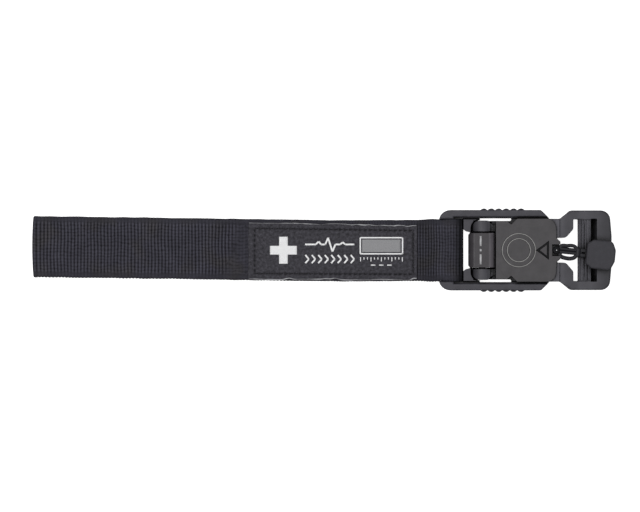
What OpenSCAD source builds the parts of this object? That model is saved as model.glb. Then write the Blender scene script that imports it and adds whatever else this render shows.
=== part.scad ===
// Webbing strap with a magnetic quick-release buckle, a pull knob and a sewn woven label.
// Millimetres. X runs along the strap towards the pull knob, Y across it, Z up from the rest plane.
// Buckle dimensions along X are measured from the outer edge of the buckle frame's strap bar.

/* [Webbing] */
// Width of the webbing
web_w = 25.4; // [20:0.1:30]
// Thickness of the webbing
web_t = 1.6; // [1.2:0.1:2]
// Length from the fold at the strap's far end to the buckle frame
strap_len = 169.4; // [120:0.1:400]
// Length of the layer turned back through the buckle and sewn down
turnback_len = 92; // [90:0.5:110]
// Distance between the tail's free end and the buckle frame
tail_stop = 14; // [10:1:60]

/* [Label] */
// Length of the woven label
label_l = 70.4; // [60:0.1:75]
// Width of the woven label
label_w = 23.7; // [15:0.1:25]
// Thickness of the woven label
label_t = 0.5; // [0.3:0.1:0.8]
// Distance from the label to the buckle frame
label_stop = 9.3; // [8:0.1:12]
// Length of one stitch
stitch_l = 2; // [1:0.1:4]
// Pitch of the stitches along a seam
stitch_pitch = 2.9; // [2:0.1:6]

/* [Buckle frame] */
// Width across the frame's rails
frame_w = 33.5; // [32:0.1:40]
// Length of the frame
frame_l = 46; // [44:0.1:48]
// Height of the rails
rail_h = 7.6; // [6:0.1:9]
// Clear width between the rails
rail_gap = 26.6; // [26.4:0.1:28]
// Number of grip ribs on each rail
grip_count = 6; // [0:1:8]
// Height of the floor bridge under the insert
bridge_h = 3; // [2:0.1:3.5]

/* [Insert] */
// Distance from the frame's edge to the cross pin
pin_x = 17.8; // [17:0.1:19]
// Height of the cross pin
pin_z = 4.2; // [4:0.1:5]
// Diameter of the cross pin
pin_d = 2.4; // [2:0.1:3]
// Width of the webbing adjuster
adjuster_w = 33.2; // [30:0.1:40]
// Distance from the frame's edge to the adjuster's outer end
adjuster_end = 71.8; // [68:0.1:80]
// Thickness of the cover plate
cover_t = 1.2; // [0.8:0.1:2]

/* [Pull] */
// Distance from the frame's edge to the pull's post
post_x = 48.6; // [48:0.1:50]
// Angle at which the pull lies
pull_angle = -5.9; // [-10:0.1:10]
// Length of the knob
knob_l = 12; // [8:0.1:20]
// Width of the knob
knob_w = 12; // [8:0.1:16]
// Thickness of the knob
knob_t = 4.2; // [2:0.1:6]

/* [Hidden] */
$fn = 48;

// Small distance by which cutting shapes pass a face, and limits that lie outside every piece
over = 1;
clear_z = 12;
clear_y = 20;
clear_x = 90;
// Clearance round a piece that is set into another, between a shaft and its hole, and between pieces
// that slide on each other
set_gap = 0.02;
fit_gap = 0.05;
slide_gap = 0.3;

// Heights of the webbing layers, from the tail on the rest plane to the main run on top
turnback_z = 2;
run_z = 3.7;
run_top = run_z + web_t;
fold_r = run_top / 2;
fold_x = -strap_len + fold_r;
swing_z = (turnback_z + run_top) / 2;
swing_r = (run_top - turnback_z) / 2;
swing_x = -6.2;

// Strap bar of the frame: a flat bar with round edges, with the webbing looped round it
bar_x0 = 1;
bar_x1 = 8.2;
bar_r = 1;
bar_z = 4.6;
loop_in_r = bar_r + 0.1;
loop_out_r = loop_in_r + web_t;
loop_end = swing_x + swing_r + slide_gap;

// Label and seams
label_x1 = -label_stop;
label_x0 = label_x1 - label_l;
thread_d = 0.35;
seam_h = 0.2;
seam_inset = 1.5;
box_seam_x = [-turnback_len + 1.5, label_x0 - 0.9];
box_seam_y = 10.5;

// Barrel on the cross pin, and the insert's hooks on either side of it
barrel_r = 5.5;
barrel_bulge = 0.2;
barrel_w = 14.4;
barrel_z = [0.4, 8.6];
hook_r = 4.2;
hook_y = [7.75, 12.35];
hook_corner = 3.2;
hook_floor = 0.4;
shank_x = pin_x + 3;
shank_top = 4.7;
pin_len = 24.4;
key_x = [pin_x - 4.9, pin_x - 4.3];
key_w = 19.2;
key_z = [1.4, 2.8];

// Lugs beside the hooks, parted from the rails by a trench, and a ledge along each rail's inner edge
lug_x0 = 10.1;
lug_gap = 0.65;
lug_z = [0.8, 6.6];
lug_out_y = 12.75;
trench_x = [6, 17];
ledge_z = 5.6;
ledge_w = 0.5;
lip_x0 = 1;
lip_y = 12.3;
lip_h = 1.4;

// Floor of the frame: narrow under the hooks, and a bridge between the rails from bridge_x on
floor_half = 12.2;
bridge_x = 30.2;
latch_pocket_x = [37.2, 45.4];
latch_pocket_w = 8.4;
keeper_x = [35.5, 40.6];
keeper_w = 10;
keeper_t = 0.8;

// Magnets: one pair in the frame's bridge and one in the insert above it
magnet_x = 39.8;
magnet_y = 9.2;
magnet_r = 3;
frame_magnet_z = [0.55, 2.35];
insert_magnet_z = [3.65, 7];

// Insert: tray under the cover, and the thinner adjuster beyond the frame
insert_x0 = 23.4;
tray_end = 50;
tray_z = [3.1, 7.3];
adjuster_z = [1.5, 6.5];
adjuster_x0 = 46.4;
insert_w = 26.2;
slot_in_x = [55.8, 57.85];
slot_out_x = [63.2, 65.6];
slot_slant = 3;
slot_w = 25.7;
ridge_pitch = 1.25;
ridge_count = 4;
ridge_w = 0.5;
bar_top = 6.1;
screw_places = [[27.2, 9.5], [46.6, 10.3]];
screw_r = 0.7;
screw_head_r = 1.15;
screw_head_h = 0.7;
screw_top = 8;

// Slider under the cover, its springs and its sprung latch
slider_x = [30, 39.5];
slider_w = 12;
slider_z = [4.9, 6.6];
slider_tail_w = 4.2;
slider_pocket_x = [26, 46];
slider_pocket_w = 12.6;
slider_pocket_z = 4.2;
spring_x = [39.6, 45.9];
spring_y = [3, 5.6];
spring_t = 0.4;
spring_legs = 5;
tongue_t = 0.55;
tongue_w = 5.2;
tongue_x = [33, 42.1];
tongue_toe_x = 38.6;
tongue_toe_z = 1.3;
tongue_top_z = 4.3;
rivet_places = [34.8, 37.6];
rivet_r = 0.6;

// Pull: post on the slider's tail, loop, flexible neck and knob
post_r = 0.9;
post_z = [4.9, 8.3];
post_head_r = 1.35;
post_head_h = 0.35;
post_pocket_x = post_x - 1.75;
post_pocket_half = 2.4;
loop_z = [6.75, 8.05];
loop_bow_x = [1.8, 9.4];
loop_bow = 2;
loop_shank = 1.7;
loop_arm = 1.05;
loop_core = 1.35;
loop_len = 10;
neck_len = 2.5;
knob_z = 6.8;

// The part is centred on the middle of its overall length, which ends at a corner of the turned knob
knob_tip = 1.91;
right_end = post_x + (loop_len + neck_len + knob_l) * cos(pull_angle) + knob_tip * abs(sin(pull_angle));
mid_x = (right_end - strap_len) / 2;

// Arc that rounds corner b of the path a-b-c to radius r
function corner(a, b, c, r, steps = 6) =
    let (u = (a - b) / norm(a - b),
         v = (c - b) / norm(c - b),
         half_angle = acos(u * v) / 2,
         centre = b + (u + v) / norm(u + v) * r / sin(half_angle),
         p = b + u * r / tan(half_angle) - centre,
         q = b + v * r / tan(half_angle) - centre,
         start = atan2(p.y, p.x),
         sweep = (atan2(q.y, q.x) - start + 540) % 360 - 180)
    [for (i = [0:steps]) centre + r * [cos(start + sweep * i / steps), sin(start + sweep * i / steps)]];

// Closed outline through points given as [x, y, corner radius]
function outline(pts) =
    let (n = len(pts), xy = [for (p = pts) [p[0], p[1]]])
    [for (i = [0:n - 1])
        each (pts[i][2] > 0 ? corner(xy[(i + n - 1) % n], xy[i], xy[(i + 1) % n], pts[i][2]) : [xy[i]])];

// The same points followed by their mirror images across the X axis
function mirrored(pts) =
    concat(pts, [for (i = [len(pts) - 1:-1:0]) [pts[i][0], -pts[i][1], pts[i][2]]]);

// Points on an arc
function arc(centre, r, from, to, steps = 12) =
    [for (i = [0:steps])
        let (angle = from + (to - from) * i / steps)
        centre + r * [cos(angle), sin(angle)]];

// Half-width of the pull loop's bowed arms at distance x from the post
function bow(x) =
    let (t = (x - loop_bow_x[0]) / (loop_bow_x[1] - loop_bow_x[0]))
    loop_shank + loop_bow * pow(sin(180 * t), 1.3);

// Profile in the XZ plane, drawn across the given width
module across(w) rotate([90, 0, 0]) linear_extrude(height = w, center = true) children();

// Plan outline, drawn between two heights
module between(z0, z1) translate([0, 0, z0]) linear_extrude(height = z1 - z0) children();

// Box between limits along each axis
module block(x, y, z) translate([x[0], y[0], z[0]]) cube([x[1] - x[0], y[1] - y[0], z[1] - z[0]]);

// The shape on both sides of the XZ plane
module both_sides() {
    children();
    mirror([0, 1, 0]) children();
}

// Round bar along Y, centred on the XZ plane
module rod(x, z, r, w) translate([x, 0, z]) rotate([90, 0, 0]) cylinder(r = r, h = w, center = true);

// Row of stitches from a to b at height z
module seam(a, b, z) {
    run = b - a;
    count = floor(norm(run) / stitch_pitch);
    for (i = [0:count - 1])
        translate([a.x + run.x * (i + 0.5) / count, a.y + run.y * (i + 0.5) / count, z])
            rotate([0, 0, atan2(run.y, run.x)])
                translate([-stitch_l / 2, -thread_d / 2, 0]) cube([stitch_l, thread_d, seam_h]);
}

// Outline of the frame seen from above
module frame_plan() {
    half = frame_w / 2;
    polygon(outline(mirrored([[0, half, 4.6], [42.3, half, 1.2], [frame_l, 13.1, 0.4]])));
}

// Lug that follows the hook's round corner at a distance of lug_gap, seen from above
module lug_plan() {
    x1 = pin_x - hook_r - lug_gap;
    y1 = hook_y[1] + lug_gap;
    intersection() {
        polygon(outline([
            [lug_x0, y1 + over, 0], [lug_x0, 8.7, 0.3], [11.4, 7.85, 1.2], [x1, 7.5, 0.2],
            [x1, y1, hook_corner + lug_gap], [trench_x[1] + over, y1, 0],
            [trench_x[1] + over, y1 + over, 0]]));
        translate([lug_x0, 0]) square([trench_x[1] - lug_x0, lug_out_y]);
    }
}

// Bar through the barrel whose two ends sit in the lugs
module barrel_key(gap = 0) {
    half = key_w / 2 + gap;
    block(key_x + gap * [-1, 1], [-half, half], key_z + gap * [-1, 1]);
}

module frame_grips() {
    grip_r = 1.5;
    grip_out = 0.65;
    grip_pitch = 3.1;
    first_x = 18.6;
    for (i = [0:grip_count - 1])
        both_sides()
            translate([first_x + i * grip_pitch, frame_w / 2 + grip_out - grip_r, 0.8])
                cylinder(r = grip_r, h = rail_h - 1.9);
}

module strap_bar() {
    across(rail_gap + 0.4)
        polygon(concat(
            arc([bar_x1 - bar_r, bar_z], bar_r, -90, 90),
            arc([bar_x0 + bar_r, bar_z], bar_r, 90, 270)));
}

// Floor under the insert, hollowed out round the barrel
module frame_floor() {
    rail_y = rail_gap / 2 + 0.2;
    difference() {
        union() {
            block([pin_x, bridge_x + over], [-floor_half, floor_half], [0, bridge_h]);
            both_sides() {
                block([key_x[0], trench_x[1]], [barrel_w / 2, rail_y], [0, bridge_h]);
                block([key_x[0], pin_x + over], [barrel_w / 2, hook_y[1]], [0, bridge_h]);
                block([lug_x0, trench_x[1]], [lug_out_y - 0.2, rail_y], [0, bridge_h]);
            }
        }
        rod(pin_x, pin_z, barrel_r + fit_gap, barrel_w + 2 * fit_gap);
    }
}

// Room for the hooks to turn about the pin
module hook_sweep() {
    both_sides()
        translate([0, (hook_y[0] + hook_y[1]) / 2, 0])
            rod(pin_x, pin_z, hook_r + 4 * fit_gap, hook_y[1] - hook_y[0] + 4 * fit_gap);
}

// Ledge cut into the inner edge of each rail, beside the webbing and the insert
module rail_ledge() {
    block([trench_x[0], frame_l + over], [rail_gap / 2 - over, rail_gap / 2 + ledge_w],
          [ledge_z, rail_h + over]);
}

// Lip under each edge of the webbing on the strap bar
module edge_lip() {
    block([lip_x0, lug_x0 + 0.1], [lip_y, rail_gap / 2 + 0.2], [0, lip_h]);
}

module latch_pocket() {
    half = latch_pocket_w / 2;
    block(latch_pocket_x, [-half, half], [0.9, bridge_h + over]);
    keeper_half = keeper_w / 2 + set_gap;
    block([keeper_x[0] - set_gap, keeper_x[1]], [-keeper_half, keeper_half],
          [bridge_h - keeper_t - set_gap, bridge_h + over]);
}

module buckle_frame() color("dimgray") {
    half = rail_gap / 2;
    mouth = web_w / 2 + 0.25;
    difference() {
        union() {
            difference() {
                between(0, rail_h) frame_plan();
                block([-over, lug_x0 + 0.1], [-mouth, mouth], [-over, rail_h + over]);
                block([lug_x0 - 0.1, bridge_x], [-half, half], [-over, rail_h + over]);
                block([bridge_x - over, frame_l + over], [-half, half], [bridge_h, rail_h + over]);
                both_sides() rail_ledge();
            }
            strap_bar();
            both_sides() {
                between(lug_z[0], lug_z[1]) lug_plan();
                edge_lip();
            }
            frame_floor();
            frame_grips();
        }
        barrel_key(set_gap);
        hook_sweep();
        both_sides()
            translate([magnet_x, magnet_y, -over])
                cylinder(r = magnet_r + set_gap, h = frame_magnet_z[1] + set_gap + over);
        latch_pocket();
    }
}

module cross_pin() color("silver") {
    rod(pin_x, pin_z, pin_d / 2, pin_len);
}

module barrel() color("gray") {
    half = barrel_w / 2;
    difference() {
        union() {
            intersection() {
                union() {
                    rod(pin_x, pin_z, barrel_r, barrel_w);
                    rod(pin_x - barrel_bulge, pin_z, barrel_r, barrel_w);
                }
                between(barrel_z[0], barrel_z[1])
                    polygon(outline(mirrored([[pin_x - 6, half, 1.8], [pin_x + 6, half, 0.8]])));
            }
            barrel_key();
        }
        rod(pin_x, pin_z, pin_d / 2 + set_gap, barrel_w + over);
    }
}

module frame_magnets() color("silver") {
    both_sides()
        translate([magnet_x, magnet_y, frame_magnet_z[0]])
            cylinder(r = magnet_r, h = frame_magnet_z[1] - frame_magnet_z[0]);
}

module magnet_caps() color("gray") {
    both_sides()
        translate([magnet_x, magnet_y, 0])
            cylinder(r = magnet_r, h = frame_magnet_z[0] - set_gap);
}

module keeper_plate() color("silver") {
    half = keeper_w / 2;
    block(keeper_x, [-half, half], [bridge_h - keeper_t, bridge_h]);
}

// Webbing looped round the strap bar: its two layers meet where the strap swings
module strap_loop() color("black") {
    top = bar_z + loop_out_r;
    low = bar_z - loop_out_r;
    right_x = bar_x1 - bar_r;
    across(web_w)
        difference() {
            polygon(concat(
                [[loop_end, run_top], [-3.4, run_top], [1.6, top]],
                arc([right_x, bar_z], loop_out_r, 90, -90),
                [[1.6, low], [loop_end, turnback_z]]));
            polygon(concat(
                [[-2.9, swing_z], [1.9, bar_z + loop_in_r]],
                arc([right_x, bar_z], loop_in_r, 90, -90),
                [[1.9, bar_z - loop_in_r]]));
        }
}

module strap_run() color("black") {
    edge = swing_x + sqrt(pow(swing_r, 2) - pow(run_z - swing_z, 2));
    rise = acos((edge - swing_x) / swing_r);
    across(web_w)
        polygon(concat(
            arc([swing_x, swing_z], swing_r, rise, 90),
            [[fold_x + fit_gap, run_top], [fold_x + fit_gap, run_z]]));
}

module strap_turnback() color("black") {
    under = turnback_z + web_t;
    edge = swing_x + sqrt(pow(swing_r, 2) - pow(under - swing_z, 2));
    drop = acos((edge - swing_x) / swing_r);
    across(web_w)
        polygon(concat(
            arc([swing_x, swing_z], swing_r, -drop, -90),
            [[-turnback_len, turnback_z], [-turnback_len, under]]));
}

module strap_fold() color("black") {
    across(web_w)
        polygon(concat(
            arc([fold_x, fold_r], fold_r, 90, 270, 16),
            arc([fold_x, fold_r], fold_r - web_t, 270, 90, 16)));
}

module strap_tail() color("black") {
    half = web_w / 2;
    block([fold_x + fit_gap, -tail_stop], [-half, half], [0, web_t]);
}

module label() color("darkslategray") {
    half = label_w / 2;
    between(run_top, run_top + label_t)
        polygon(outline(mirrored([[label_x0, half, 0.6], [label_x1, half, 0.6]])));
}

module label_stitching() color("black") {
    x0 = label_x0 + seam_inset;
    x1 = label_x1 - seam_inset;
    y = label_w / 2 - seam_inset;
    z = run_top + label_t;
    both_sides() seam([x0, y], [x1, y], z);
    seam([x0, -y], [x0, y], z);
    seam([x1, -y], [x1, y], z);
}

module label_edge_threads() color("lightgray") {
    both_sides()
        block([label_x0, label_x1], [label_w / 2, label_w / 2 + thread_d], [run_top, run_top + thread_d]);
}

// Box with a cross inside it, sewn through the end of the turned-back layer
module box_stitching() color("black") {
    a = box_seam_x[0];
    b = box_seam_x[1];
    y = box_seam_y;
    both_sides() seam([a, y], [b, y], run_top);
    seam([a, -y], [a, y], run_top);
    seam([b, -y], [b, y], run_top);
    seam([a, -y], [b, y], run_top + seam_h);
    seam([a, y], [b, -y], run_top + 2 * seam_h);
}

// Outline of the insert seen from above: tray, neck and webbing adjuster
module insert_plan() {
    tray = insert_w / 2;
    wide = adjuster_w / 2;
    polygon(outline(mirrored([
        [insert_x0, 12.1, 0.6], [28.2, 12.1, 0.3], [28.9, 11.6, 0.2], [30.6, tray, 0.3], [50.3, tray, 2],
        [54.6, wide, 2], [70.9, wide, 4], [adjuster_end, 6, 6]])));
}

// Opening behind the pull, with the slot for the webbing across its end
module pull_opening() {
    half = slot_w / 2;
    polygon(outline(mirrored([
        [50.2, 3.5, 0.2], [48.7, 5.1, 0.3], [52.7, 5.2, 2.4], [slot_in_x[0], 8.8, 1.5],
        [slot_in_x[0], half, 0.3], [slot_in_x[1], half, 0.3]])));
}

// Slot that slants under the locking bar, so that tension clamps the webbing
module outer_slot() {
    top = adjuster_z[1] + over;
    low = adjuster_z[0] - over;
    across(slot_w + 0.5)
        polygon([[slot_out_x[0], top], [slot_out_x[1], top], [slot_out_x[1], 4.6],
                 [slot_out_x[1] - slot_slant, low], [slot_out_x[0] - slot_slant, low], [slot_out_x[0], 4.6]]);
}

module locking_ridges() {
    half = slot_w / 2 - 0.4;
    for (i = [0:ridge_count - 1])
        block([0, ridge_w] + [1, 1] * (slot_in_x[1] + 0.5 + i * ridge_pitch),
              [-half, half], [bar_top - 0.1, bar_top + 0.3]);
}

// Hook that the insert hangs on the cross pin by. Its mouth opens downwards, to lift off the pin
module hook() {
    run_r = pin_d / 2 + fit_gap;
    left = pin_x - hook_r;
    intersection() {
        translate([0, (hook_y[0] + hook_y[1]) / 2, 0])
            across(hook_y[1] - hook_y[0])
                difference() {
                    union() {
                        translate([pin_x, pin_z]) circle(r = hook_r);
                        translate([pin_x, tray_z[0]]) square([insert_x0 - pin_x + 1.6, tray_z[1] - tray_z[0]]);
                    }
                    translate([pin_x, pin_z]) circle(r = run_r);
                    translate([pin_x - run_r, -over]) square([2 * run_r, pin_z + over]);
                    translate([0, -over]) square([insert_x0 + 2, hook_floor + over]);
                    translate([shank_x, shank_top]) square([insert_x0 - shank_x, clear_z]);
                }
        between(-over, clear_z)
            polygon(outline([
                [left, hook_y[0], 0], [left, hook_y[1], hook_corner], [pin_x + 2.4, hook_y[1], 1.2],
                [pin_x + 4.5, 10.6, 0.4], [25.2, 10.6, 0], [25.2, hook_y[0], 0]]));
    }
}

// Notch in each side of the tray, open where the cover is cut back over it
module side_notch() {
    between(5.2, tray_z[1] + over)
        polygon([[28.3, 12.4], [29.75, 10.6], [32.2, 12.6], [32.2, 14], [28.3, 14]]);
}

module tray_pockets() {
    half = slider_pocket_w / 2;
    channel = slider_tail_w / 2 + slide_gap;
    latch_half = tongue_w / 2 + 0.3;
    block(slider_pocket_x, [-half, half], [slider_pocket_z, tray_z[1] + over]);
    block([slider_pocket_x[1] - over, 51], [-channel, channel], [4.4, tray_z[1] + over]);
    block([41.2, 45.9], [-latch_half, latch_half], [tray_z[0] - over, slider_pocket_z + over]);
    both_sides() {
        side_notch();
        translate([magnet_x, magnet_y, insert_magnet_z[0] - set_gap])
            cylinder(r = magnet_r + set_gap, h = clear_z);
        for (p = screw_places) {
            translate([p.x, p.y, 0]) cylinder(r = screw_r + set_gap, h = clear_z);
            translate([p.x, p.y, 0]) cylinder(r = screw_head_r + set_gap, h = tray_z[0] + screw_head_h);
        }
    }
}

module insert_base() color("dimgray") {
    half = slot_w / 2;
    difference() {
        union() {
            intersection() {
                between(tray_z[0], tray_z[1]) insert_plan();
                block([0, tray_end], [-clear_y, clear_y], [0, clear_z]);
            }
            intersection() {
                between(adjuster_z[0], adjuster_z[1]) insert_plan();
                block([adjuster_x0, clear_x], [-clear_y, clear_y], [0, clear_z]);
            }
            both_sides() hook();
        }
        tray_pockets();
        between(0, clear_z) pull_opening();
        block([slot_in_x[1] - 0.01, slot_out_x[0] + 0.1], [-half, half], [bar_top, clear_z]);
        outer_slot();
    }
    intersection() {
        locking_ridges();
        block([slot_in_x[1], slot_out_x[0]], [-half, half], [0, clear_z]);
    }
}

module cover_plan() {
    wide = insert_w / 2;
    difference() {
        polygon(outline(mirrored([
            [insert_x0 + 0.1, 12, 0.5], [28.2, 12, 0.3], [29.8, 10.6, 0.3], [32.3, wide, 0.3],
            [48.3, wide, 4], [48.6, 5.1, 0.2], [50.3, 3.6, 0.4]])));
        translate([post_pocket_x, -post_pocket_half]) square([loop_len, 2 * post_pocket_half]);
    }
}

// Two plain rings, engraved in the cover
module ring_mark() {
    ring_x = 32.9;
    line = 0.4;
    for (r = [7.1, 5])
        translate([ring_x, 0])
            difference() {
                circle(r = r);
                circle(r = r - line);
            }
}

// Triangle that points at the strap end, engraved in the cover
module arrow_mark() {
    difference() {
        polygon([[40.5, 0], [45.4, 3.85], [45.4, -3.85]]);
        polygon([[41.7, 0], [44.7, 2.4], [44.7, -2.4]]);
    }
}

module cover_plate() color("gray") {
    top = tray_z[1] + cover_t;
    difference() {
        between(tray_z[1], top) cover_plan();
        between(top - 0.3, top + over) ring_mark();
        between(top - 0.4, top + over) arrow_mark();
        both_sides()
            for (p = screw_places)
                translate([p.x, p.y, 0]) cylinder(r = screw_r + set_gap, h = screw_top + fit_gap);
    }
}

module cover_screws() color("silver") {
    both_sides()
        for (p = screw_places)
            translate([p.x, p.y, tray_z[0]]) {
                cylinder(r = screw_head_r, h = screw_head_h);
                cylinder(r = screw_r, h = screw_top - tray_z[0]);
            }
}

module insert_magnets() color("silver") {
    both_sides()
        translate([magnet_x, magnet_y, insert_magnet_z[0]])
            cylinder(r = magnet_r, h = insert_magnet_z[1] - insert_magnet_z[0]);
}

module slider() color("slategray") {
    half = slider_w / 2;
    tail = slider_tail_w / 2;
    difference() {
        between(slider_z[0], slider_z[1])
            polygon(outline(mirrored([
                [slider_x[0], half, 1], [slider_x[1], half, 0.3], [slider_x[1], tail, 0.4],
                [post_x + 1.8, tail, 1.6]])));
        translate([post_x, 0, 0]) cylinder(r = post_r + set_gap, h = clear_z);
        for (x = rivet_places)
            translate([x, 0, 0]) cylinder(r = rivet_r + set_gap, h = clear_z);
    }
}

// Flat spring that winds to and fro between the slider and the tray's end wall
module return_springs() color("silver") {
    leg_pitch = (spring_x[1] - spring_x[0] - spring_t) / spring_legs;
    z = [slider_z[0], slider_z[1] - 0.1];
    both_sides() {
        for (i = [0:spring_legs])
            block([0, spring_t] + [1, 1] * (spring_x[0] + i * leg_pitch), spring_y, z);
        for (i = [0:spring_legs - 1]) {
            x = spring_x[0] + i * leg_pitch;
            end = spring_y[i % 2] - (i % 2) * spring_t;
            block([x, x + leg_pitch + spring_t], [end, end + spring_t], z);
        }
    }
}

// Sprung strip under the slider, with a toe that hooks under the keeper plate
module latch_tongue() color("lightsteelblue") {
    top = tongue_top_z + tongue_t;
    difference() {
        across(tongue_w)
            polygon([
                [tongue_x[0], top], [tongue_x[1], top], [tongue_x[1], tongue_toe_z],
                [tongue_toe_x + 0.4, tongue_toe_z], [tongue_toe_x, tongue_toe_z + 0.3],
                [tongue_toe_x, tongue_toe_z + tongue_t], [tongue_x[1] - tongue_t, tongue_toe_z + tongue_t],
                [tongue_x[1] - tongue_t, tongue_top_z], [tongue_x[0], tongue_top_z]]);
        for (x = rivet_places)
            translate([x, 0, 0]) cylinder(r = rivet_r + set_gap, h = clear_z);
    }
}

module tongue_rivets() color("silver") {
    for (x = rivet_places)
        translate([x, 0, tongue_top_z]) cylinder(r = rivet_r, h = slider_z[1] - tongue_top_z);
}

module pull_post() color("silver") {
    translate([post_x, 0, 0]) {
        translate([0, 0, post_z[0]]) cylinder(r = post_r, h = post_z[1] - post_z[0]);
        translate([0, 0, post_z[0] - post_head_h]) cylinder(r = post_head_r, h = post_head_h);
        translate([0, 0, post_z[1] - 0.15]) cylinder(r = post_head_r, h = post_head_h);
    }
}

// Frame of the pull: origin at the post, turned to the angle at which the pull lies
module on_pull() translate([post_x, 0, 0]) rotate([0, 0, pull_angle]) children();

module loop_slit() {
    steps = 12;
    x0 = loop_bow_x[0] + 1.2;
    x1 = loop_bow_x[1] - 1.2;
    xs = [for (i = [0:steps]) x0 + (x1 - x0) * i / steps];
    polygon(concat(
        [for (x = xs) [x, max(bow(x) - loop_arm, loop_core + fit_gap)]],
        [[x1, loop_core], [x0, loop_core]]));
}

module pull_loop() color("black") {
    steps = 24;
    xs = [for (i = [0:steps]) loop_bow_x[0] + (loop_bow_x[1] - loop_bow_x[0]) * i / steps];
    on_pull()
        between(loop_z[0], loop_z[1])
            difference() {
                polygon(concat(
                    arc([0, 0], loop_shank, 270, 90),
                    [for (x = xs) [x, bow(x)]],
                    [[loop_len, loop_shank], [loop_len, -loop_shank]],
                    [for (i = [steps:-1:0]) [xs[i], -bow(xs[i])]]));
                circle(r = post_r + fit_gap);
                loop_slit();
                mirror([0, 1]) loop_slit();
            }
}

module pull_neck() color("black") {
    on_pull()
        block([loop_len + set_gap, loop_len + neck_len - set_gap], [-loop_shank, loop_shank], loop_z);
}

module pull_knob() color("dimgray") {
    x0 = loop_len + neck_len;
    wide = knob_w / 2;
    on_pull()
        between(knob_z, knob_z + knob_t)
            polygon(outline(mirrored([
                [x0, 0.7 * wide, 0.8], [x0 + 2.7, wide, 1.4], [x0 + knob_l - 1.6, wide, 2.2],
                [x0 + knob_l, 0.4 * wide, 3]])));
}

// The part's own frame: centred along its length
module placed() translate([-mid_x, 0, 0]) children();

placed() buckle_frame();
placed() cross_pin();
placed() barrel();
placed() frame_magnets();
placed() magnet_caps();
placed() keeper_plate();
placed() strap_loop();
placed() strap_run();
placed() strap_turnback();
placed() strap_fold();
placed() strap_tail();
placed() label();
placed() label_stitching();
placed() label_edge_threads();
placed() box_stitching();
placed() insert_base();
placed() cover_plate();
placed() cover_screws();
placed() insert_magnets();
placed() slider();
placed() return_springs();
placed() latch_tongue();
placed() tongue_rivets();
placed() pull_post();
placed() pull_loop();
placed() pull_neck();
placed() pull_knob();
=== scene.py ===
"""Looks for a webbing tourniquet strap with a magnetic quick-release buckle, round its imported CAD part.

Lengths are in millimetres until they are scaled to the frame's metres. X is measured from the end of the
buckle frame where the webbing goes in, as in the CAD source.
"""

import math

import bmesh
import bpy
import numpy as np
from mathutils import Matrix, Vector


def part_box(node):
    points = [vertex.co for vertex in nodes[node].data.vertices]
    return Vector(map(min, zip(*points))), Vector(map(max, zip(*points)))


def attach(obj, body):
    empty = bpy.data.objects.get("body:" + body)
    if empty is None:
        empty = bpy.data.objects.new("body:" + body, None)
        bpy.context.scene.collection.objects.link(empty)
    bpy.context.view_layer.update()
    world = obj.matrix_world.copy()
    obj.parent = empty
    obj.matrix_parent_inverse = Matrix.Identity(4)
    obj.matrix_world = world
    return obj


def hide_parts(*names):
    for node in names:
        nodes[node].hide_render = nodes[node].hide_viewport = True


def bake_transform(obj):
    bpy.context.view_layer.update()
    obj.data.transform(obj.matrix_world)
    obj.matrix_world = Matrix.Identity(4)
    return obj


MM = 0.001

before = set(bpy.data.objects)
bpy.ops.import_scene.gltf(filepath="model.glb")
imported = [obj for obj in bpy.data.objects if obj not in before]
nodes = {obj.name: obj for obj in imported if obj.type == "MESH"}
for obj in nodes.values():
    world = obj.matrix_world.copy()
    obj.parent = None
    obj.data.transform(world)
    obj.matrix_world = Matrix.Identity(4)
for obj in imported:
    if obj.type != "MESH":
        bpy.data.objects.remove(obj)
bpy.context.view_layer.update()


def edges(node):
    """Lowest and highest corner of a CAD node, in millimetres."""
    low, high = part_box(node)
    return low / MM, high / MM


# The end of the buckle frame where the webbing goes in, from which X is measured
BUCKLE_X = edges("buckle_frame")[0].x

# Webbing
WEB_W = 25.4
WEB_T = 1.6
RIB_PITCH = 1.4
RIB_HEIGHT = 0.26
YARN_PITCH = 1.41
SELVEDGE = 2.7
# Distance between two sections of a strip
SECTION_STEP = 0.2
# Middle height of the main run, of the layer turned back under it and of the tail
RUN_Z = 4.5
TURN_Z = 2.8
TAIL_Z = 0.8
# Where the two strips of webbing meet, hidden under the label
SEAM_X = -45.0
# Strap bar: middle height, where the webbing is up on it, where it turns down, and its radius there
BAR_Z = 4.6
BAR_START = 1.4
BAR_END = 7.2
BAR_LOOP_R = 1.9
# The slope between the run and the bar starts here, with corners of this radius
SLOPE_X = -3.8
SLOPE_R = 2.4
# Far fold, the end of the layer turned back under the main run, and the end of the tail
FOLD_X = -166.75
TURNBACK_END = -92.0
TAIL_END = -14.0
# The ribs are pressed flat to the right of this place, where two layers are sewn together
PRESSED_X = -86.5
# Crest value of webbing without ribs
FLAT_CREST = 0.62
# Distance along the far strip from the seam to the middle of the fold
FOLD_S = SEAM_X - FOLD_X + 0.25 * math.pi * (RUN_Z - TAIL_Z)

# Label
LABEL_X0 = -79.7
LABEL_X1 = -9.3
LABEL_Z = 5.36
LABEL_T = 0.42
# The label's long edges are not quite level: Y at the left end, and how far it falls to the right end
LABEL_UPPER_Y = 11.3
LABEL_UPPER_FALL = 0.95
LABEL_LOWER_Y = -11.9
LABEL_LOWER_FALL = 0.35
# The label's seam: distances in from the long edges, the left end and the right end
SEAM_INSET = 2.2
SEAM_LEFT = 2.7
SEAM_RIGHT = 1.7
STITCH_PITCH = 2.08
CREASES_X = (-31.0, -28.6, -25.4)
CREASE_Y = 7.4

# Box seam between the end of the turned-back layer and the label
BOX_LEFT = TURNBACK_END + 1.5
BOX_RIGHT = LABEL_X0 - 0.9
BOX_HALF = 10.5
BOX_PITCH = 2.1

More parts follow.
